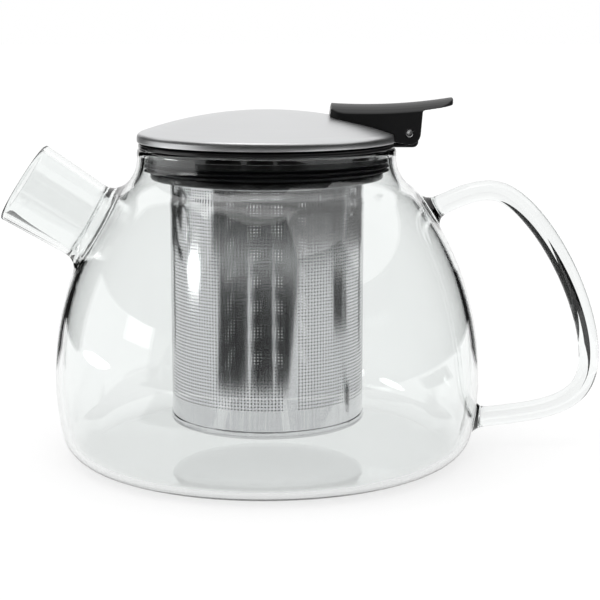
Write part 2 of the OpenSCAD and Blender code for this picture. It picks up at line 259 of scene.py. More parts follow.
# A material with one Principled shader. paint(book, place) returns what varies on it.
def finishOf(name, constants, paint):
    material = bpy.data.materials.new(name)
    material.use_nodes = True
    tree = material.node_tree
    tree.nodes.clear()
    book = NodeBook(tree)
    place = book.node("ShaderNodeTexCoord", {}, {}, "Object")
    varying = paint(book, place)
    shader = book.node("ShaderNodeBsdfPrincipled", {}, {**constants, **varying}, "BSDF")
    book.node("ShaderNodeOutputMaterial", {}, {"Surface": shader})
    return material


# The hinge pin's place, which its finish and several pieces use
pinLow, pinHigh = boxOf("hinge_pin")
pinX, pinZ = (pinLow[0] + pinHigh[0]) / 2, (pinLow[2] + pinHigh[2]) / 2
pinBore = 0.75


# Finishes

glassLook = {
    "tint": (0.925, 0.94, 0.935),
    "ior": 1.47,
    "waveScale": 38.0,
    "waveBump": 0.05,
    "bloomScale": 16.0,
}


def paintGlass(book, place):
    waves = book.noise(place, glassLook["waveScale"], 1.0)
    bloom = book.step(book.noise(place, glassLook["bloomScale"], 4.0), 0.62, 0.8)
    return {"Roughness": bloom * 0.02, "Normal": book.bump(waves, glassLook["waveBump"], 0.0006)}


clearGlass = finishOf("clearGlass", {
    "Base Color": glassLook["tint"], "IOR": glassLook["ior"], "Transmission Weight": 1.0,
}, paintGlass)

steelLook = {
    "domeColour": (0.66, 0.665, 0.67),
    "domeDark": (0.53, 0.535, 0.54),
    "sheetColour": (0.76, 0.76, 0.77),
    "sheetDark": (0.60, 0.60, 0.61),
    "spinPitch": 5200.0,
}


# Fine rings from spinning, with soft blotches
def paintSpun(book, place):
    apart = book.node("ShaderNodeSeparateXYZ", {}, [place])
    x, y = apart, Num(book, apart.socket.node.outputs["Y"])
    out = (x * x + y * y) ** 0.5
    ring = book.node("ShaderNodeCombineXYZ", {}, [out * steelLook["spinPitch"], x * 14.0, y * 14.0])
    fine = book.noise(ring, 1.0, 3.0, 0.65)
    coarse = book.noise(book.node("ShaderNodeCombineXYZ", {}, [out * 900.0, x * 5.0, y * 5.0]), 1.0, 2.0)
    blotch = book.noise(place, 45.0, 3.0)
    return {
        "Base Color": book.mixed(fine * 0.7 + blotch * 0.3, steelLook["domeDark"], steelLook["domeColour"]),
        "Roughness": 0.27 + fine * 0.1 + blotch * 0.05,
        "Normal": book.bump(fine + coarse * 0.4, 0.16, 0.00004),
    }


spunSteel = finishOf("spunSteel", {"Metallic": 1.0, "Anisotropic": 0.4}, paintSpun)


# Bright rolled sheet: faint upright streaks and a slight waviness
def paintSheet(book, place):
    streaks = book.noise(book.stretched(place, (1400.0, 1400.0, 26.0)), 1.0, 3.0)
    waves = book.noise(book.stretched(place, (55.0, 55.0, 14.0)), 1.0, 1.0)
    return {
        "Base Color": book.mixed(streaks, steelLook["sheetDark"], steelLook["sheetColour"]),
        "Roughness": 0.10 + streaks * 0.08,
        "Normal": book.bump(streaks * 0.12 + waves, 0.25, 0.0002),
    }


sheetSteel = finishOf("sheetSteel", {"Metallic": 1.0}, paintSheet)

plasticLook = {
    "colour": (0.004, 0.004, 0.0043),
    "worn": (0.009, 0.009, 0.0095),
    "grain": 2600.0,
}


def paintMoulded(book, place):
    grain = book.noise(place, plasticLook["grain"], 2.0, 0.6)
    flow = book.noise(place, 60.0, 3.0)
    return {
        "Base Color": book.mixed(flow, plasticLook["colour"], plasticLook["worn"]),
        "Roughness": 0.30 + grain * 0.1 + flow * 0.06,
        "Normal": book.bump(grain, 0.1, 0.00005),
    }


mouldedBlack = finishOf("mouldedBlack", {"IOR": 1.42, "Specular IOR Level": 0.32}, paintMoulded)


def paintGlossy(book, place):
    flow = book.noise(place, 70.0, 3.0)
    grain = book.noise(place, 2200.0, 1.0)
    return {
        "Base Color": book.mixed(flow, plasticLook["colour"], plasticLook["worn"]),
        "Roughness": 0.12 + flow * 0.08 + grain * 0.04,
        "Normal": book.bump(flow, 0.08, 0.0002),
    }


glossyBlack = finishOf("glossyBlack", {"IOR": 1.45}, paintGlossy)


def paintRubber(book, place):
    dust = book.noise(place, 900.0, 3.0)
    return {
        "Base Color": book.mixed(dust, (0.010, 0.010, 0.011), (0.022, 0.022, 0.024)),
        "Roughness": 0.38 + dust * 0.15,
        "Normal": book.bump(dust, 0.1, 0.00005),
    }


sealRubber = finishOf("sealRubber", {"IOR": 1.42}, paintRubber)


# Turning marks, and painted shade: the inside of the pin's bore is coloured near black
def paintTurned(book, place):
    marks = book.noise(book.stretched(place, (300.0, 4200.0, 300.0)), 1.0, 2.0)
    apart = book.node("ShaderNodeSeparateXYZ", {}, [place])
    x, z = apart - pinX * mm, Num(book, apart.socket.node.outputs["Z"]) - pinZ * mm
    # Painted shade: near black inside the bore, plain turned steel clear of it
    clearOfBoreShade = book.step((x * x + z * z) ** 0.5, pinBore * mm * 1.02, pinBore * mm * 1.14)
    steel = book.mixed(marks, (0.62, 0.62, 0.63), (0.78, 0.78, 0.78))
    return {
        "Base Color": book.mixed(clearOfBoreShade, (0.01, 0.01, 0.01), steel),
        "Roughness": 0.16 + marks * 0.14,
        "Normal": book.bump(marks, 0.12, 0.00004),
    }


turnedSteel = finishOf("turnedSteel", {"Metallic": 1.0}, paintTurned)
print("finishes made")


# The glass: pot, spout and handle in one shell

glassHigh = boxOf("glass_body")[1]
potSizes = {
    "bodyRadius": glassHigh[0],
    "rimZ": glassHigh[2],
    "bellyZ": 26.5,
    "neckRadius": 43.3,
    "neckHeight": 3.5,
    "neckHollow": 11.5,
    "boreHollow": 13.9,
    "shoulderAngle": 54.0,
    "shoulderRadius": 12.0,
    "cornerRadius": 10.0,
    "footInset": 11.8,
    "wall": 2.4,
    "columns": 240,
    "evenRounds": 9,
    "rowStep": 1.6,
    "footStep": 2.6,
}
spoutSizes = {
    "drop": 26.5,
    "tilt": 32.3,
    "length": 28.0,
    "radius": 13.2,
    "mouthRadius": 14.5,
    "wall": 2.0,
    "weld": 4.4,
    "innerWeld": 2.2,
    "tail": 15.0,
    "weldRun": 6.0,
    "innerWeldRun": 2.0,
    "weldRings": 14,
    "innerWeldRings": 10,
    "innerDrop": 1.2,
    "lipGap": 0.2,
    "cells": (28, 24),
}
rodSizes = {
    "radius": 3.4,
    "swell": 0.75,
    "swellLength": 8.0,
    "weld": 3.4,
    "topDrop": 22.1,
    "lowZ": 10.5,
    "reach": 41.4,
    "crestOut": 31.6,
    "crestUp": 6.9,
    "sideZ": 32.0,
    "rootLift": 0.6,
    "rootRun": 8.3,
    "rootRise": 3.2,
    "crestBack": 8.0,
    "crestAhead": 14.8,
    "sidePull": 0.36,
    "lowPull": 0.82,
    "footPull": 0.65,
    "footRise": 0.105,
    "topCells": (12, 12),
    "lowCells": (10, 14),
    "topShift": 0.9,
    "lowShift": 0.2,
    "centreRun": 6.0,
    "weldRun": 8.5,
    "weldRings": 12,
    "ringStep": 1.5,
}


def meetingRadius(centre, radius, x0, z0):
    a, b = centre[0] - x0, centre[1] - z0
    return (radius * radius - a * a - b * b) / (2 * (a + radius))


def potLines(s):
    neckZ = s["rimZ"] - s["neckHeight"]
    hollow = np.array([s["neckRadius"] + s["neckHollow"], neckZ])
    turn = math.radians(180 + s["shoulderAngle"])
    shoulder = hollow + (s["neckHollow"] + s["shoulderRadius"]) * np.array([math.cos(turn), math.sin(turn)])
    sideR = meetingRadius(shoulder, s["shoulderRadius"], s["bodyRadius"], s["bellyZ"])
    side = (s["bodyRadius"] - sideR, s["bellyZ"])
    sideA = math.degrees(math.atan2(shoulder[1] - side[1], shoulder[0] - side[0]))
    corner = (s["bodyRadius"] - s["footInset"], s["cornerRadius"])
    lowR = meetingRadius(corner, s["cornerRadius"], s["bodyRadius"], s["bellyZ"])
    low = (s["bodyRadius"] - lowR, s["bellyZ"])
    lowA = math.degrees(math.atan2(corner[1] - low[1], corner[0] - low[0]))

    def belowShoulder(w):
        return (arcPoints(side, sideR - w, sideA, 0, 160, 1) + arcPoints(low, lowR - w, 0, lowA, 60, 1)
                + arcPoints(corner, s["cornerRadius"] - w, lowA, -90, 60, 1))

    outer = ([(s["neckRadius"], s["rimZ"] - s["wall"] / 2)]
             + arcPoints(hollow, s["neckHollow"], 180, 180 + s["shoulderAngle"], 60)
             + arcPoints(shoulder, s["shoulderRadius"], s["shoulderAngle"], sideA, 30, 1)
             + belowShoulder(0))
    bore = s["neckRadius"] - s["wall"]
    reach = s["boreHollow"] + s["shoulderRadius"] - s["wall"]
    boreX = bore + s["boreHollow"]
    boreC = (boreX, shoulder[1] + math.sqrt(reach ** 2 - (boreX - shoulder[0]) ** 2))
    boreA = math.degrees(math.atan2(boreC[1] - shoulder[1], boreC[0] - shoulder[0]))
    inner = ([(bore, s["rimZ"] - s["wall"] / 2)]
             + arcPoints(boreC, s["boreHollow"], 180, 180 + boreA, 40)
             + arcPoints(shoulder, s["shoulderRadius"] - s["wall"], boreA, sideA, 30, 1)
             + belowShoulder(s["wall"]))
    return np.array(outer), np.array(inner)


outerLine, innerLine = potLines(potSizes)


# Signed distance to a line of revolution, positive outside. The line runs from the neck down.
def fromPot(points, line):
    flat = np.stack([np.hypot(points[:, 0], points[:, 1]), points[:, 2]], 1)
    start, run = line[:-1], np.diff(line, axis=0)
    length = np.hypot(run[:, 0], run[:, 1])
    rel = flat[:, None, :] - start[None]
    t = np.clip((rel * run[None]).sum(2) / length ** 2, 0, 1)
    near = rel - t[..., None] * run[None]
    dist = np.hypot(near[..., 0], near[..., 1])
    best = dist.argmin(1)
    pick = np.arange(len(points))
    outward = np.stack([-run[:, 1], run[:, 0]], 1)
    sign = np.sign((rel[pick, best] * outward[best]).sum(1))
    return np.where(sign == 0, 1, sign) * dist[pick, best]


def weldedUnion(a, b, radius):
    u, v = np.maximum(radius - a, 0), np.maximum(radius - b, 0)
    return np.maximum(radius, np.minimum(a, b)) - np.hypot(u, v)


def radiusAt(line, z):
    side = line[line[:, 1] < potSizes["rimZ"] - 4][::-1]
    return float(np.interp(z, side[:, 1], side[:, 0]))


# The spout leaves the pot at its root, and axis, up and side span its own frame
spoutZ = potSizes["rimZ"] - spoutSizes["drop"]
spoutRoot = np.array([-radiusAt(outerLine, spoutZ), 0.0, spoutZ])
tilt = math.radians(spoutSizes["tilt"])
spoutAxis = np.array([-math.cos(tilt), 0.0, math.sin(tilt)])
spoutSide = np.array([0.0, 1.0, 0.0])
spoutUp = np.cross(spoutSide, spoutAxis)


def spoutRadiusAt(t, inner):
    flare = np.clip(t / spoutSizes["length"], 0, 1)
    grow = spoutSizes["mouthRadius"] - spoutSizes["radius"]
    return spoutSizes["radius"] - (spoutSizes["wall"] if inner else 0) + grow * flare


def fromSpout(points, inner):
    rel = points - spoutRoot
    t = rel @ spoutAxis
    around = rel - t[:, None] * spoutAxis
    return np.maximum(np.linalg.norm(around, axis=1) - spoutRadiusAt(t, inner), -spoutSizes["tail"] - t)


def bezier(a, b, c, d, steps):
    t = np.linspace(0, 1, steps + 1)[:, None]
    a, b, c, d = (np.array(p, float) for p in (a, b, c, d))
    return (1 - t) ** 3 * a + 3 * (1 - t) ** 2 * t * b + 3 * (1 - t) * t * t * c + t ** 3 * d


def rodPath(s):
    topZ, lift = potSizes["rimZ"] - s["topDrop"], s["rootLift"]
    a = (radiusAt(outerLine, topZ + lift) - potSizes["wall"], topZ)
    b = (potSizes["neckRadius"] + s["crestOut"], topZ + lift + s["crestUp"])
    c = (potSizes["bodyRadius"] + s["reach"] - s["radius"], s["sideZ"])
    d = (radiusAt(outerLine, s["lowZ"] + 0.1) - potSizes["wall"], s["lowZ"])
    side = (b[1] - c[1]) * s["sidePull"]
    low = (c[1] - d[1]) * s["lowPull"]
    foot = (c[0] - d[0]) * s["footPull"]
    parts = [bezier(a, (a[0] + s["rootRun"], a[1] + s["rootRise"]), (b[0] - s["crestBack"], b[1]), b, 60),
             bezier(b, (b[0] + s["crestAhead"], b[1]), (c[0], c[1] + side), c, 120)[1:],
             bezier(c, (c[0], c[1] - low), (d[0] + foot, d[1] + foot * s["footRise"]), d, 120)[1:]]
    return np.concatenate(parts)


rodLine = rodPath(rodSizes)
rodRun = np.concatenate([[0], np.cumsum(np.hypot(*np.diff(rodLine, axis=0).T))])


def rodRadiusAt(run):
    end = np.minimum(run, rodRun[-1] - run)
    return rodSizes["radius"] + rodSizes["swell"] * np.clip(1 - end / rodSizes["swellLength"], 0, 1) ** 1.5


def fromRod(points):
    start, run = rodLine[:-1], np.diff(rodLine, axis=0)
    flat = points[:, [0, 2]]
    rel = flat[:, None, :] - start[None]
    t = np.clip((rel * run[None]).sum(2) / (run ** 2).sum(1), 0, 1)
    near = rel - t[..., None] * run[None]
    dist = np.hypot(near[..., 0], near[..., 1])
    best = dist.argmin(1)
    pick = np.arange(len(points))
    at = rodRun[best] + t[pick, best] * np.hypot(*run[best].T)
    return np.hypot(dist[pick, best], points[:, 1]) - rodRadiusAt(at)


def outerGlass(points):
    withSpout = weldedUnion(fromPot(points, outerLine), fromSpout(points, False), spoutSizes["weld"])
    return weldedUnion(withSpout, fromRod(points), rodSizes["weld"])


def innerGlass(points):
    return weldedUnion(fromPot(points, innerLine), fromSpout(points, True), spoutSizes["innerWeld"])


# Moves points onto a surface along its own slope
def settled(points, distance, rounds=8):
    p = np.array(points, float)
    h = 0.01
    for _ in range(rounds):
        f = distance(p)
        slope = np.stack([(distance(p + e) - f) / h for e in np.eye(3) * h], 1)
        size = np.maximum((slope ** 2).sum(1), 0.05)
        move = -f / size
        p += np.clip(move, -1.5, 1.5)[:, None] * slope
    return p


def glassShell():
    s = potSizes
    columns = s["columns"]
    outerSide = along(outerLine, s["rowStep"])[::-1]
    innerSide = along(innerLine, s["rowStep"])
    footR = outerLine[-1, 0]
    footRows = np.linspace(2.5, footR, int(footR / s["footStep"]))[:-1]
    half = s["wall"] / 2
    lip = arcPoints((s["neckRadius"] - half, s["rimZ"] - half), half, 0, 180, 10)[1:-1]
    rows = ([(r, 0.0) for r in footRows] + outerSide.tolist() + lip + innerSide.tolist()
            + [(r, s["wall"]) for r in footRows[::-1]])
    rows = np.array(rows)
    outerStart = len(footRows)
    innerStart = outerStart + len(outerSide) + len(lip)
    angles = np.linspace(0, 2 * math.pi, columns, endpoint=False)
    points = [np.stack([rows[:, :1] * np.cos(angles), rows[:, :1] * np.sin(angles),
                        np.repeat(rows[:, 1:], columns, 1)], 2).reshape(-1, 3)]
    total = len(rows) * columns
    removed = set()
    faces = []

    # Cuts a window of cells out of the grid and gives the ring of vertices round it
    def opening(line, start, z, angle, cells):
        sideCells, rowCells = cells
        centreRow = start + int(np.abs(rows[start:start + len(line), 1] - z).argmin())
        centreColumn = int(round(angle / 360 * columns))
        i0, i1 = centreColumn - sideCells // 2, centreColumn + sideCells // 2
        j0, j1 = centreRow - rowCells // 2, centreRow + rowCells // 2
        for j in range(j0, j1):
            for i in range(i0, i1):
                removed.add((j, i % columns))
        ring = [(j0, i) for i in range(i0, i1)] + [(j, i1) for j in range(j0, j1)]
        ring += [(j1, i) for i in range(i1, i0, -1)] + [(j, i0) for j in range(j1, j0, -1)]
        return [j * columns + i % columns for j, i in ring]

    grid = points[0]
    outerRing = opening(outerSide, outerStart, spoutZ, 180, spoutSizes["cells"])
    innerRing = opening(innerSide, innerStart, spoutZ - spoutSizes["innerDrop"], 180, spoutSizes["cells"])
    topZ, lowZ = rodLine[0][1] + rodSizes["topShift"], rodSizes["lowZ"] + rodSizes["lowShift"]
    topRing = opening(outerSide, outerStart, topZ, 0, rodSizes["topCells"])
    lowRing = opening(outerSide, outerStart, lowZ, 0, rodSizes["lowCells"])

    def anglesAbout(ids, centre, u, v):
        rel = grid[ids] - centre
        return np.arctan2(rel @ v, rel @ u)

    def evenAngles(ids, centre, u, v):
        seen = np.unwrap(anglesAbout(ids, centre, u, v))
        even = 2 * math.pi * np.arange(len(ids)) / len(ids) * np.sign(seen[-1] - seen[0])
        return even + (seen - even).mean()

    # The far opening's vertices in the order of the near one's
    def matched(ids, centre, u, v, wanted):
        back = list(reversed(ids))
        seen = anglesAbout(back, centre, u, v)
        scores = [np.cos(np.roll(seen, -k) - wanted).sum() for k in range(len(back))]
        k = int(np.argmax(scores))
        return back[k:] + back[:k]

    def addRing(ringPoints):
        nonlocal total
        points.append(np.asarray(ringPoints))
        ids = list(range(total, total + len(ringPoints)))
        total += len(ringPoints)
        return ids

    def strip(ringA, ringB):
        n = len(ringA)
        for k in range(n):
            m = (k + 1) % n
            faces.append((ringA[k], ringA[m], ringB[m], ringB[k]))

    # Rings between two loops, evened out while they are held on the surface
    def patch(first, last, distance, steps):
        net = np.array([first * (1 - m / steps) + last * m / steps for m in range(steps + 1)])
        held = net[1:-1].shape
        for _ in range(potSizes["evenRounds"]):
            net[1:-1] = settled(net[1:-1].reshape(-1, 3), distance, 2).reshape(held)
            around = np.roll(net, 1, axis=1) + np.roll(net, -1, axis=1)
            net[1:-1] = 0.4 * net[1:-1] + 0.15 * (net[:-2] + net[2:] + around[1:-1])
        net[1:-1] = settled(net[1:-1].reshape(-1, 3), distance).reshape(held)
        return [addRing(ring) for ring in net[1:-1]]

    # Spout
    theta = evenAngles(outerRing, spoutRoot, spoutUp, spoutSide)

    def spoutRing(t, inner, radius=None):
        r = spoutRadiusAt(np.array(t), inner) if radius is None else radius
        around = np.cos(theta)[:, None] * spoutUp + np.sin(theta)[:, None] * spoutSide
        return spoutRoot + t * spoutAxis + r * around

    edge = spoutSizes["wall"] / 2
    lipT = spoutSizes["length"] - edge
    mid = spoutSizes["mouthRadius"] - edge
    outerRun, innerRun = spoutSizes["weldRun"], spoutSizes["innerWeldRun"]
    tubeEnd = lipT - spoutSizes["lipGap"]
    rings = [outerRing]
    rings += patch(grid[outerRing], spoutRing(outerRun, False), outerGlass, spoutSizes["weldRings"])
    rings += [addRing(spoutRing(t, False)) for t in np.linspace(outerRun, tubeEnd, 15)]
    for a in np.radians(np.linspace(0, 180, 11)):
        rings.append(addRing(spoutRing(lipT + edge * math.sin(a), False, mid + edge * math.cos(a))))
    rings += [addRing(spoutRing(t, True)) for t in np.linspace(tubeEnd, innerRun, 17)]
    innerOrder = matched(innerRing, spoutRoot, spoutUp, spoutSide, theta)
    rings += patch(spoutRing(innerRun, True), grid[innerOrder], innerGlass, spoutSizes["innerWeldRings"])
    rings += [innerOrder]
    for a, b in zip(rings, rings[1:]):
        strip(a, b)

    # Handle
    def rodFrame(run):
        x, z = np.interp(run, rodRun, rodLine[:, 0]), np.interp(run, rodRun, rodLine[:, 1])
        e = 0.4
        ahead, behind = min(run + e, rodRun[-1]), max(run - e, 0)
        dx = np.interp(ahead, rodRun, rodLine[:, 0]) - np.interp(behind, rodRun, rodLine[:, 0])
        dz = np.interp(ahead, rodRun, rodLine[:, 1]) - np.interp(behind, rodRun, rodLine[:, 1])
        size = math.hypot(dx, dz)
        return np.array([x, 0, z]), np.array([-dz / size, 0, dx / size])

    side = np.array([0.0, 1.0, 0.0])
    topCentre, topOut = rodFrame(rodSizes["centreRun"])
    turn = evenAngles(topRing, topCentre, topOut, side)

    def rodRing(run):
        centre, out = rodFrame(run)
        r = rodRadiusAt(np.array(run))
        return centre + r * (np.cos(turn)[:, None] * out + np.sin(turn)[:, None] * side)

    startRun, endRun = rodSizes["weldRun"], rodRun[-1] - rodSizes["weldRun"]
    rings = [topRing] + patch(grid[topRing], rodRing(startRun), outerGlass, rodSizes["weldRings"])
    count = int((endRun - startRun) / rodSizes["ringStep"])
    rings += [addRing(rodRing(run)) for run in np.linspace(startRun, endRun, count)]
    lowCentre, lowOut = rodFrame(rodRun[-1] - rodSizes["centreRun"])
    lowOrder = matched(lowRing, lowCentre, lowOut, side, turn)
    rings += patch(rodRing(endRun), grid[lowOrder], outerGlass, rodSizes["weldRings"]) + [lowOrder]
    for a, b in zip(rings, rings[1:]):
        strip(a, b)

    for j in range(len(rows) - 1):
        for i in range(columns):
            if (j, i) not in removed:
                right = (i + 1) % columns
                low, high = j * columns, (j + 1) * columns
                faces.append((low + i, low + right, high + right, high + i))
    centres = addRing(np.array([[0, 0, 0], [0, 0, potSizes["wall"]]], float))
    top = (len(rows) - 1) * columns
    for i in range(columns):
        right = (i + 1) % columns
        faces.append((centres[0], right, i))
        faces.append((centres[1], top + i, top + right))
    return np.concatenate(points), faces


points, faces = glassShell()
glassPot = meshObject("glassPot", points, faces, clearGlass)
tidy = bmesh.new()
tidy.from_mesh(glassPot.data)
loose = [v for v in tidy.verts if not v.link_faces]
bmesh.ops.delete(tidy, geom=loose, context="VERTS")
openEdges = sum(1 for e in tidy.edges if len(e.link_faces) != 2)
tidy.to_mesh(glassPot.data)
volume = tidy.calc_volume(signed=True) * 1e6
tidy.free()
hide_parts("glass_body", "glass_spout", "glass_handle")
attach(glassPot, "glass")
print("glass:", len(glassPot.data.polygons), "faces,", openEdges, "open edges,", round(volume, 1), "cm3")


# Turns an object with modifiers into a plain mesh piece
def baked(source, name, material, smoothAngle=180):
    bpy.context.view_layer.update()
    graph = bpy.context.evaluated_depsgraph_get()
    mesh = bpy.data.meshes.new_from_object(source.evaluated_get(graph))
    old = source.data
    bpy.data.objects.remove(source)
    if old.users == 0:
        bpy.data.meshes.remove(old)
    return finishMesh(name, mesh, material, smoothAngle)


def addModifier(piece, kind, **settings):
    made = piece.modifiers.new(kind.lower(), kind)
    for name, value in settings.items():
        setattr(made, name, value)
    return made


# A flat outline of (x, z) made into a bar across y, with its edges rounded
def barAcross(outline, width, roundEdge):
    count = len(outline)
    points = [(x, -width / 2, z) for x, z in outline] + [(x, width / 2, z) for x, z in outline]
    faces = [tuple(range(count)), tuple(reversed(range(count, 2 * count)))]
    faces += [(k, k + count, (k + 1) % count + count, (k + 1) % count) for k in range(count)]
    bar = meshObject("bar", points, faces, mouldedBlack)
    addModifier(bar, "BEVEL", width=roundEdge * mm, segments=3, limit_method="ANGLE",
                angle_limit=math.radians(40))
    return bar


# Collar, seal and cup
collarLow, collarHigh = boxOf("collar")
sealLow, sealHigh = boxOf("seal_ring")
wallLow, wallHigh = boxOf("sieve_wall_tube")
cupLow, cupHigh = boxOf("sieve_cup")

collarSizes = {
    "flangeRadius": collarHigh[1],
    "flangeZ": potSizes["rimZ"] + 0.1,
    "flangeTop": potSizes["rimZ"] + 1.5,
    "skirtRadius": 40.5,
    "grooveRadius": 37.6,
    "toeRadius": 38.9,
    "toeZ": collarLow[2],
    "boreRadius": 33.2,
    "ledgeRadius": 36.4,
    "ledgeZ": wallHigh[2],
    "lugWidth": 8.0,
    "lugRadius": collarHigh[0] - pinX,
    "lugInner": 43.7,
    "lugHeel": 1.8,
    "lugRoot": 0.6,
    "lugSink": 0.05,
    "pinPlay": 0.05,
    "drillReach": 9.0,
    "columns": 192,
}


def collarPiece(c):
    ring = rounded([
        (c["boreRadius"], c["toeZ"], 0.3), (c["toeRadius"], c["toeZ"], 1.5),
        (c["toeRadius"], sealLow[2], 0.25), (c["grooveRadius"], sealLow[2], 0),
        (c["grooveRadius"], sealHigh[2], 0), (c["skirtRadius"], sealHigh[2], 0.35),
        (c["skirtRadius"], c["flangeZ"], 0.15), (c["flangeRadius"], c["flangeZ"], 0.4),
        (c["flangeRadius"], c["flangeTop"], 0.5), (c["ledgeRadius"], c["flangeTop"], 0.35),
        (c["ledgeRadius"], c["ledgeZ"], 0), (c["boreRadius"], c["ledgeZ"], 0.3)], 5)
    points, faces = turned(ring, c["columns"])
    hoop = meshObject("hoop", points, faces, glossyBlack)
    dip = math.degrees(math.acos((c["lugInner"] - pinX) / c["lugRadius"]))
    heel, heelX, lugZ = c["lugHeel"], pinX + c["lugRadius"] - c["lugHeel"], c["flangeZ"] + c["lugSink"]
    lugFoot = c["skirtRadius"] + c["lugRoot"]
    outline = [(lugFoot, lugZ)] + arcPoints((heelX, lugZ + heel), heel, -90, 0, 8)
    outline += arcPoints((pinX, pinZ), c["lugRadius"], 0, dip, 20)
    outline += [(c["lugInner"], c["flangeTop"] - c["lugSink"]), (lugFoot, c["flangeTop"] - c["lugSink"])]
    lug = barAcross(outline, c["lugWidth"], 0.35)
    drill, reach = pinHigh[0] - pinX + c["pinPlay"], c["drillReach"]
    bit = [(0, -reach), (drill, -reach), (drill, reach), (0, reach)]
    hole = meshObject("hole", *turned(bit, 40, True), mouldedBlack)
    hole.data.transform(uprightToAcross(pinX, pinZ))
    addModifier(lug, "BOOLEAN", operation="DIFFERENCE", object=hole, solver="EXACT")
    drilled = baked(lug, "drilled", mouldedBlack)
    bpy.data.objects.remove(hole)
    return oneMesh("collarRing", [hoop, drilled], glossyBlack, 35)


# Turns a thing made round the upright axis to lie across, along y
def uprightToAcross(x, z):
    turn = Matrix.Rotation(math.radians(90), 4, "X")
    return Matrix.Translation((x * mm, 0, z * mm)) @ turn


def oneMesh(name, parts, material, smoothAngle=180):
    work = bmesh.new()
    for part in parts:
        work.from_mesh(part.data)
    mesh = bpy.data.meshes.new(name)
    work.to_mesh(mesh)
    work.free()
    for part in parts:
        bpy.data.objects.remove(part)
    return finishMesh(name, mesh, material, smoothAngle)


def settle(piece, body, slot, *stoodFor):
    if stoodFor:
        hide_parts(*stoodFor)
    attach(piece, body)
    return piece


settle(collarPiece(collarSizes), "infuser", "collar_black", "collar")

sealSizes = {
    "root": 38.6,
    "back": 37.65,
    "lip": sealHigh[0],
    "lips": 2,
    "firstLip": 0.8,
    "lipPitch": 1.6,
    "lipHeight": 0.55,
    "endPlay": 0.02,
    "columns": 192,
}


def sealPiece(s):
    low, high = sealLow[2] + s["endPlay"], sealHigh[2] - s["endPlay"]
    corners = [(s["back"], low, 0.1), (s["root"], low, 0.2)]
    for k in range(s["lips"]):
        z = sealLow[2] + s["firstLip"] + k * s["lipPitch"]
        corners += [(s["root"], z, 0.25), (s["lip"], z, 0.25), (s["lip"], z + s["lipHeight"], 0.25),
                    (s["root"], z + s["lipHeight"], 0.25)]
    corners += [(s["root"], high, 0.2), (s["back"], high, 0.1)]
    return meshObject("sealLips", *turned(rounded(corners, 4), s["columns"]), sealRubber, 50)


settle(sealPiece(sealSizes), "infuser", "silicone", "seal_ring")

cupSizes = {
    "corner": 1.3,
    "wall": 0.4,
    "tubeRadius": wallHigh[0],
    "lipRound": 0.14,
    "crownRadius": 18.0,
    "crownEdge": 20.0,
    "crownRise": 0.5,
    "play": 0.02,
    "columns": 160,
}


def cupPiece(c):
    r, low, high = cupHigh[0], cupLow[2], cupHigh[2]
    corner, lip, wall = c["corner"], c["lipRound"], c["wall"]
    crown, crownEdge, crownZ = c["crownRadius"], c["crownEdge"], low + c["crownRise"]
    inner, inset = c["tubeRadius"] + c["play"], wall / 2
    outline = [(0, crownZ), (crown, crownZ), (crownEdge, low)]
    outline += arcPoints((r - corner, low + corner), corner, -90, 0, 8)
    outline += [(r, high - lip)] + arcPoints((r - lip, high - lip), lip, 0, 90, 4, 1)
    outline += [(inner, high), (inner, low + wall), (crownEdge + inset, low + wall)]
    outline += [(crown + inset, crownZ + wall), (0, crownZ + wall)]
    return meshObject("strainerCup", *turned(outline, c["columns"], True), sheetSteel, 35)


settle(cupPiece(cupSizes), "infuser", "sieve_steel", "sieve_cup")
print("collar, seal and cup made")


# Strainer: three perforated sheets that a node tree lays out flat and rolls up
strainerSizes = {
    "radius": wallHigh[0],
    "wall": 0.4,
    "rows": 65,
    "firstRow": 21.5,
    "rowPitch": 1.089,
    "columns": 60,
    "sheets": 3,
    "seamColumns": 4,
    "seamAngle": 14.4,
    "stripShare": 0.86,
    "stripThick": 0.16,
    "stripLift": 2.4,
    "stripReach": 2.0,
    "holeRadius": 0.265,
    "sewDistance": 0.02,
}
allColumns = strainerSizes["columns"] * strainerSizes["sheets"] + strainerSizes["seamColumns"]


# One square of sheet with a round hole, open at its four sides
def holeCell(pitchX, pitchY, hole, thick, sides=8):
    points, faces = [], []
    angles = [math.radians(360 / sides * k) for k in range(sides)]
    for z in (thick / 2, -thick / 2):
        for a in angles:
            reach = 1 / max(abs(math.cos(a)), abs(math.sin(a)))
            points.append((pitchX / 2 * math.cos(a) * reach, pitchY / 2 * math.sin(a) * reach, z))
        points += [(hole * math.cos(a), hole * math.sin(a), z) for a in angles]
    rim, under, underRim = sides, 2 * sides, 3 * sides
    for k in range(sides):
        n = (k + 1) % sides
        faces.append((k, n, rim + n, rim + k))
        faces.append((underRim + k, underRim + n, under + n, under + k))
        faces.append((rim + k, rim + n, underRim + n, underRim + k))
    return meshObject("holeCell", points, faces, sheetSteel)


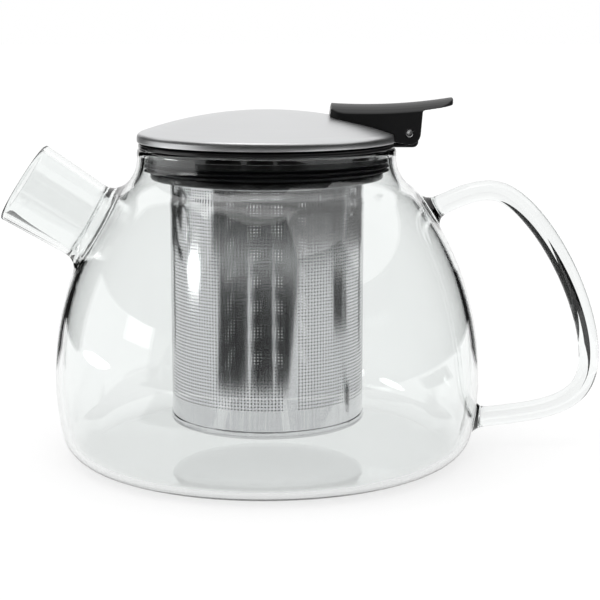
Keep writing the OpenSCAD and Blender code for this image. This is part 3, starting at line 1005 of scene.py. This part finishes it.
# Inputs: cell, columns, rows, pitches, radius, start angle, start height, finish
def rollTree():
    tree = bpy.data.node_groups.new("rolledSheet", "GeometryNodeTree")
    sockets = {}
    for name, kind in [("Cell", "Object"), ("Columns", "Int"), ("Rows", "Int"), ("Column Pitch", "Float"),
                       ("Row Pitch", "Float"), ("Radius", "Float"), ("Start Angle", "Float"),
                       ("Start Height", "Float"), ("Finish", "Material")]:
        sockets[name] = tree.interface.new_socket(name, in_out="INPUT", socket_type="NodeSocket" + kind)
    tree.interface.new_socket("Sheet", in_out="OUTPUT", socket_type="NodeSocketGeometry")
    book = NodeBook(tree)
    given = tree.nodes.new("NodeGroupInput")
    value = {name: Num(book, given.outputs[name]) for name in sockets}
    wide = (value["Columns"] - 1) * value["Column Pitch"]
    tall = (value["Rows"] - 1) * value["Row Pitch"]
    grid = book.node("GeometryNodeMeshGrid", {}, {
        "Size X": wide, "Size Y": tall,
        "Vertices X": value["Columns"], "Vertices Y": value["Rows"]}, "Mesh")
    cell = book.node("GeometryNodeObjectInfo", {}, {
        "Object": value["Cell"], "As Instance": True}, "Geometry")
    laid = book.node("GeometryNodeInstanceOnPoints", {}, {"Points": grid, "Instance": cell}, "Instances")
    flat = book.node("GeometryNodeRealizeInstances", {}, {"Geometry": laid}, "Geometry")
    sewn = book.node("GeometryNodeMergeByDistance", {}, {
        "Geometry": flat, "Distance": strainerSizes["sewDistance"] * mm}, "Geometry")
    spot = book.node("GeometryNodeInputPosition", {}, {}, "Position")
    apart = book.node("ShaderNodeSeparateXYZ", {}, [spot])
    x, y, z = (Num(book, apart.socket.node.outputs[n]) for n in "XYZ")
    angle = (x + wide * 0.5) / value["Radius"] + value["Start Angle"]
    out = value["Radius"] + z
    sine, cosine = angle.maths("SINE"), angle.maths("COSINE")
    height = y + tall * 0.5 + value["Start Height"]
    rolled = book.node("ShaderNodeCombineXYZ", {}, [out * sine, -(out * cosine), height], "Vector")
    moved = book.node("GeometryNodeSetPosition", {}, {"Geometry": sewn, "Position": rolled}, "Geometry")
    whole = book.node("GeometryNodeRealizeInstances", {}, {"Geometry": moved}, "Geometry")
    painted = book.node("GeometryNodeSetMaterial", {}, {
        "Geometry": whole, "Material": value["Finish"]}, "Geometry")
    book.node("NodeGroupOutput", {}, {"Sheet": painted})
    return tree


# Closes the cut edges of a rolled sheet: each outer edge is joined to the inner edge behind it
def closeRim(mesh, middle):
    work = bmesh.new()
    work.from_mesh(mesh)

    def key(v):
        return (round(math.atan2(v.co.x, v.co.y), 4), round(v.co.z, 6))

    cut = [e for e in work.edges if len(e.link_faces) == 1]
    back = {key(v): v for e in cut for v in e.verts if math.hypot(v.co.x, v.co.y) < middle}
    for e in cut:
        a, b = e.verts
        if math.hypot(a.co.x, a.co.y) > middle:
            work.faces.new((a, b, back[key(b)], back[key(a)]))
    bmesh.ops.recalc_face_normals(work, faces=work.faces)
    left = sum(1 for e in work.edges if len(e.link_faces) != 2)
    work.to_mesh(mesh)
    work.free()
    return left


def strainerSheets(s):
    middle = s["radius"] - s["wall"] / 2
    stepAngle = 2 * math.pi / allColumns
    pitch = 2 * math.pi * middle / allColumns
    cell = holeCell(pitch, s["rowPitch"], s["holeRadius"], s["wall"])
    tree = rollTree()
    names = {item.name: item.identifier for item in tree.interface.items_tree if item.in_out == "INPUT"}
    for k in range(s["sheets"]):
        carrier = meshObject("carrier", [(0, 0, 0)], [], sheetSteel)
        roll = addModifier(carrier, "NODES", node_group=tree)
        past = s["seamColumns"] / 2 + 0.5 + k * s["columns"]
        firstAngle = math.radians(s["seamAngle"]) + stepAngle * past
        wanted = {
            "Cell": cell, "Columns": s["columns"], "Rows": s["rows"], "Column Pitch": pitch * mm,
            "Row Pitch": s["rowPitch"] * mm, "Radius": middle * mm, "Start Angle": firstAngle,
            "Start Height": s["firstRow"] * mm, "Finish": sheetSteel,
        }
        for name, value in wanted.items():
            roll[names[name]] = value
        sheet = baked(carrier, f"strainerMesh{k + 1}", sheetSteel)
        left = closeRim(sheet.data, middle * mm)
        sheet.data.set_sharp_from_angle(angle=math.radians(35))
        sheet.data.polygons.foreach_set("use_smooth", [True] * len(sheet.data.polygons))
        settle(sheet, "infuser", "sieve_steel", "sieve_wall_tube")
        print("sheet", k + 1, len(sheet.data.polygons), "faces,", left, "open edges")
    bpy.data.objects.remove(cell)


strainerSheets(strainerSizes)


# A closed piece of tube between two angles, measured from the front towards the handle
def tubePart(inner, outer, low, high, start, end, steps):
    points, faces = [], []
    angles = np.radians(np.linspace(start, end, steps + 1))
    section = [(inner, low), (outer, low), (outer, high), (inner, high)]
    count = len(section)
    for a in angles:
        points += [(r * math.sin(a), -r * math.cos(a), z) for r, z in section]
    for i in range(steps):
        for k in range(count):
            n = (k + 1) % count
            faces.append((i * count + k, (i + 1) * count + k, (i + 1) * count + n, i * count + n))
    faces.append(tuple(range(count)))
    faces.append(tuple(reversed(range(steps * count, (steps + 1) * count))))
    return points, faces


def strainerPlain(s):
    outer, inner = s["radius"], s["radius"] - s["wall"]
    low = s["firstRow"] - s["rowPitch"] / 2
    high = s["firstRow"] + s["rowPitch"] * (s["rows"] - 0.5)
    seam, half = s["seamAngle"], 180 * s["seamColumns"] / allColumns
    strip = half * s["stripShare"]
    foot, head = wallLow[2] + s["stripLift"], collarSizes["toeZ"] + s["stripReach"]
    parts = [
        turned([(inner, wallLow[2]), (outer, wallLow[2]), (outer, low), (inner, low)], allColumns),
        turned([(inner, high), (outer, high), (outer, wallHigh[2]), (inner, wallHigh[2])], allColumns),
        tubePart(inner, outer, low, high, seam - half, seam + half, s["seamColumns"] * 2),
        tubePart(outer, outer + s["stripThick"], foot, head, seam - strip, seam + strip, 8),
    ]
    return meshObject("strainerBands", *joined(parts), sheetSteel, 35)


settle(strainerPlain(strainerSizes), "infuser", "sieve_steel", "sieve_wall_tube")
print("strainer made")


# Lid: spun dome, thumb lever, hollow pin
domeLow, domeHigh = boxOf("lid_dome")
domeSizes = {
    "radius": domeHigh[0],
    "hemZ": domeLow[2],
    "top": domeHigh[2],
    "hemHeight": 1.2,
    "hemRound": 2.0,
    "wall": 0.6,
    "edgeRound": 0.25,
    "columns": 200,
}


def domePiece(d):
    hemTop = d["hemZ"] + d["hemHeight"]
    edge = (d["radius"] - d["hemRound"], hemTop)
    rise = d["top"] - hemTop
    sphere = (edge[0] ** 2 + rise ** 2 - d["hemRound"] ** 2) / (2 * (rise - d["hemRound"]))
    centre = (0, d["top"] - sphere)
    meet = math.degrees(math.atan2(edge[1] - centre[1], edge[0]))

    def line(w, steps):
        return (arcPoints(edge, d["hemRound"] - w, 0, meet, 8)
                + arcPoints(centre, sphere - w, meet, 90, steps, 1))

    inner = line(d["wall"], 30)[::-1]
    inner[0] = (0.0, inner[0][1])
    r, z, e = d["radius"], d["hemZ"], d["edgeRound"]
    foot = [(r - d["wall"], z + e)] + arcPoints((r - d["wall"] / 2, z + e), d["wall"] / 2, 180, 360, 8)
    outer = line(0, 60)
    outer[-1] = (0.0, outer[-1][1])
    return meshObject("lidDome", *turned(inner + foot + outer, d["columns"], True), spunSteel, 60)


settle(domePiece(domeSizes), "lid", "brushed_dome", "lid_dome")

leverSizes = {"voxel": 0.26, "soften": 7, "weldDistance": 0.005}


def leverPiece(s):
    copy = nodes["thumb_lever"].data.copy()
    work = bmesh.new()
    work.from_mesh(copy)
    bmesh.ops.remove_doubles(work, verts=work.verts, dist=s["weldDistance"] * mm)
    work.to_mesh(copy)
    work.free()
    blank = bpy.data.objects.new("leverBlank", copy)
    bpy.context.scene.collection.objects.link(blank)
    addModifier(blank, "REMESH", mode="VOXEL", voxel_size=s["voxel"] * mm)
    addModifier(blank, "SMOOTH", factor=0.5, iterations=s["soften"])
    return baked(blank, "thumbLever", mouldedBlack)


lever = settle(leverPiece(leverSizes), "lid", "lever_black", "thumb_lever")
print("lever:", len(lever.data.polygons), "faces")


def pinPiece():
    outer, half = pinHigh[0] - pinX, (pinHigh[1] - pinLow[1]) / 2
    corners = [(pinBore, -half, 0.12), (outer, -half, 0.22), (outer, half, 0.22), (pinBore, half, 0.12)]
    outline = rounded(corners, 4)
    pin = meshObject("hingePin", *turned(outline, 48), turnedSteel, 50)
    pin.data.transform(uprightToAcross(pinX, pinZ))
    return pin


settle(pinPiece(), "lid", "bright_steel", "hinge_pin")

# CAD pieces that only get a finish
keptFinishes = {
    "keeper_ring": mouldedBlack,
    "sieve_rim_ring": sheetSteel,
    "lid_liner": mouldedBlack,
    "lever_screws": turnedSteel,
}
for name, finish in keptFinishes.items():
    nodes[name].data.materials.clear()
    nodes[name].data.materials.append(finish)
print("lid made")


# Studio: pale floor and soft light. The mats, walls, cards and the lamp card only show in
# reflections and through glass. Mats are (distance, angle) corners, far mats are (near, far,
# start angle, end angle) and far walls are (start angle, end angle, low, high).
studioSizes = {
    "floorRadius": 5.0,
    "floorZ": -0.3,
    "floorShade": 0.25,
    "floorGlow": 0.74,
    "horizon": 1.0,
    "zenith": 1.15,
    "sideCards": [((-118, 118), (-200, 200)), ((118, 118), (200, 200))],
    "sideCardHeight": 60,
    "mats": [
        [(150, 10), (150, 22), (300, 31), (460, 37), (460, 10)],
        [(150, -16), (150, 7), (460, 7), (460, -16)],
        [(150, -54), (150, -21), (460, -21), (460, -54)],
        [(260, 82), (260, 104), (460, 104), (460, 82)],
    ],
    "farMats": [(545, 800, -65, 150), (545, 800, -150, -115)],
    "farWalls": [(-62, 24, 0.4, 1800), (24, 62, 0.4, 900), (62, 150, 0.4, 500),
                 (-150, -115, 0.4, 500), (-115, -62, 250, 1200)],
    "wallDistance": 800,
    "lamp": (245, -90, 31, 44, 6),
    "lampGlow": 9.0,
    "topLight": ((-0.3, -0.5, 1.6), (0, 0, 0.05), 1.4, 1.0, 5.0),
    "sideLight": ((-1.3, -0.4, 0.7), (0, 0, 0.06), 0.5, 1.0, 2.5),
}


def flatFinish(name, colour, strength=0.0):
    def paint(book, place):
        speck = book.noise(place, 30.0, 2.0)
        return {"Base Color": book.mixed(speck * 0.2, colour, tuple(c * 0.96 for c in colour))}
    return finishOf(name, {"Roughness": 0.9, "Specular IOR Level": 0.1,
                           "Emission Color": colour, "Emission Strength": strength}, paint)


def stageMesh(name, points, faces, material, hidden=False):
    piece = meshObject(name, points, faces, material)
    if hidden:
        piece.visible_camera = False
        piece.visible_diffuse = False
        piece.visible_shadow = False
    return piece


shade = studioSizes["floorShade"]
floorPale = flatFinish("floorPale", (shade, shade, shade), studioSizes["floorGlow"] / shade)
cardBlack = flatFinish("cardBlack", (0.004, 0.004, 0.004))
cardLamp = flatFinish("cardLamp", (1.0, 1.0, 1.0), studioSizes["lampGlow"])
floorR = studioSizes["floorRadius"] / mm
ring = [(floorR * math.cos(a), floorR * math.sin(a), studioSizes["floorZ"])
        for a in np.linspace(0, 2 * math.pi, 96, endpoint=False)]
stageMesh("floor", ring, [tuple(range(96))], floorPale)


# Angles here count from the front, towards +X
def onFloor(distance, angle, z=0.4):
    a = math.radians(angle)
    return distance * math.sin(a), -distance * math.cos(a), z


# Quads between pairs of points that follow each other
def stripFaces(count):
    return [(2 * i, 2 * i + 1, 2 * i + 3, 2 * i + 2) for i in range(count)]


for k, corners in enumerate(studioSizes["mats"]):
    stageMesh(f"mat{k + 1}", [onFloor(*c) for c in corners], [tuple(range(len(corners)))], cardBlack, True)
for k, (near, far, start, end) in enumerate(studioSizes["farMats"]):
    points = [onFloor(d, a) for a in np.linspace(start, end, 30) for d in (near, far)]
    stageMesh(f"farMat{k + 1}", points, stripFaces(29), cardBlack, True)
for k, (start, end, low, high) in enumerate(studioSizes["farWalls"]):
    sweep = np.linspace(start, end, 30)
    points = [onFloor(studioSizes["wallDistance"], a, z) for a in sweep for z in (low, high)]
    stageMesh(f"farWall{k + 1}", points, stripFaces(29), cardBlack, True)
for k, (one, other) in enumerate(studioSizes["sideCards"]):
    points = [(x, y, z) for (x, y) in (one, other) for z in (0.4, studioSizes["sideCardHeight"])]
    stageMesh(f"sideCard{k + 1}", points, stripFaces(1), cardBlack, True)
away, angle, height, halfWidth, halfHeight = studioSizes["lamp"]
centre = np.array(onFloor(away, angle, height))
across = np.array([math.cos(math.radians(angle)), math.sin(math.radians(angle)), 0])
points = [centre + halfWidth * math.cos(a) * across + halfHeight * math.sin(a) * np.array([0, 0, 1])
          for a in np.linspace(0, 2 * math.pi, 32, endpoint=False)]
stageMesh("lampCard", points, [tuple(range(32))], cardLamp, True)


def areaLight(name, place, aim, width, height, power):
    lamp = bpy.data.lights.new(name, "AREA")
    lamp.shape = "RECTANGLE"
    lamp.size, lamp.size_y, lamp.energy = width, height, power
    piece = bpy.data.objects.new(name, lamp)
    piece.location = place
    piece.rotation_euler = (Vector(aim) - Vector(place)).to_track_quat("-Z", "Y").to_euler()
    bpy.context.scene.collection.objects.link(piece)
    return piece


areaLight("topLight", *studioSizes["topLight"])
areaLight("sideLight", *studioSizes["sideLight"])

world = bpy.data.worlds.new("studio")
bpy.context.scene.world = world
world.use_nodes = True
world.node_tree.nodes.clear()
sky = NodeBook(world.node_tree)
look = sky.node("ShaderNodeSeparateXYZ", {}, [sky.node("ShaderNodeTexCoord", {}, {}, "Generated")], "Z")
tone = sky.mixed(sky.step(look, 0.05, 0.75), (studioSizes["horizon"],) * 3, (studioSizes["zenith"],) * 3)
light = sky.node("ShaderNodeBackground", {}, {"Color": tone, "Strength": 1.0}, "Background")
sky.node("ShaderNodeOutputWorld", {}, {"Surface": light})

cameraSizes = {"place": (0.01112, -0.550, 0.15297), "down": 10.41, "lens": 98.67, "sensor": 36.0}
lens = bpy.data.cameras.new("camera")
lens.lens, lens.sensor_width = cameraSizes["lens"], cameraSizes["sensor"]
lens.clip_start, lens.clip_end = 0.02, 30.0
camera = bpy.data.objects.new("camera", lens)
camera.location = cameraSizes["place"]
camera.rotation_euler = (math.radians(90 - cameraSizes["down"]), 0, 0)
bpy.context.scene.collection.objects.link(camera)
bpy.context.scene.camera = camera
bpy.context.scene.view_settings.view_transform = "Standard"
print("studio made")
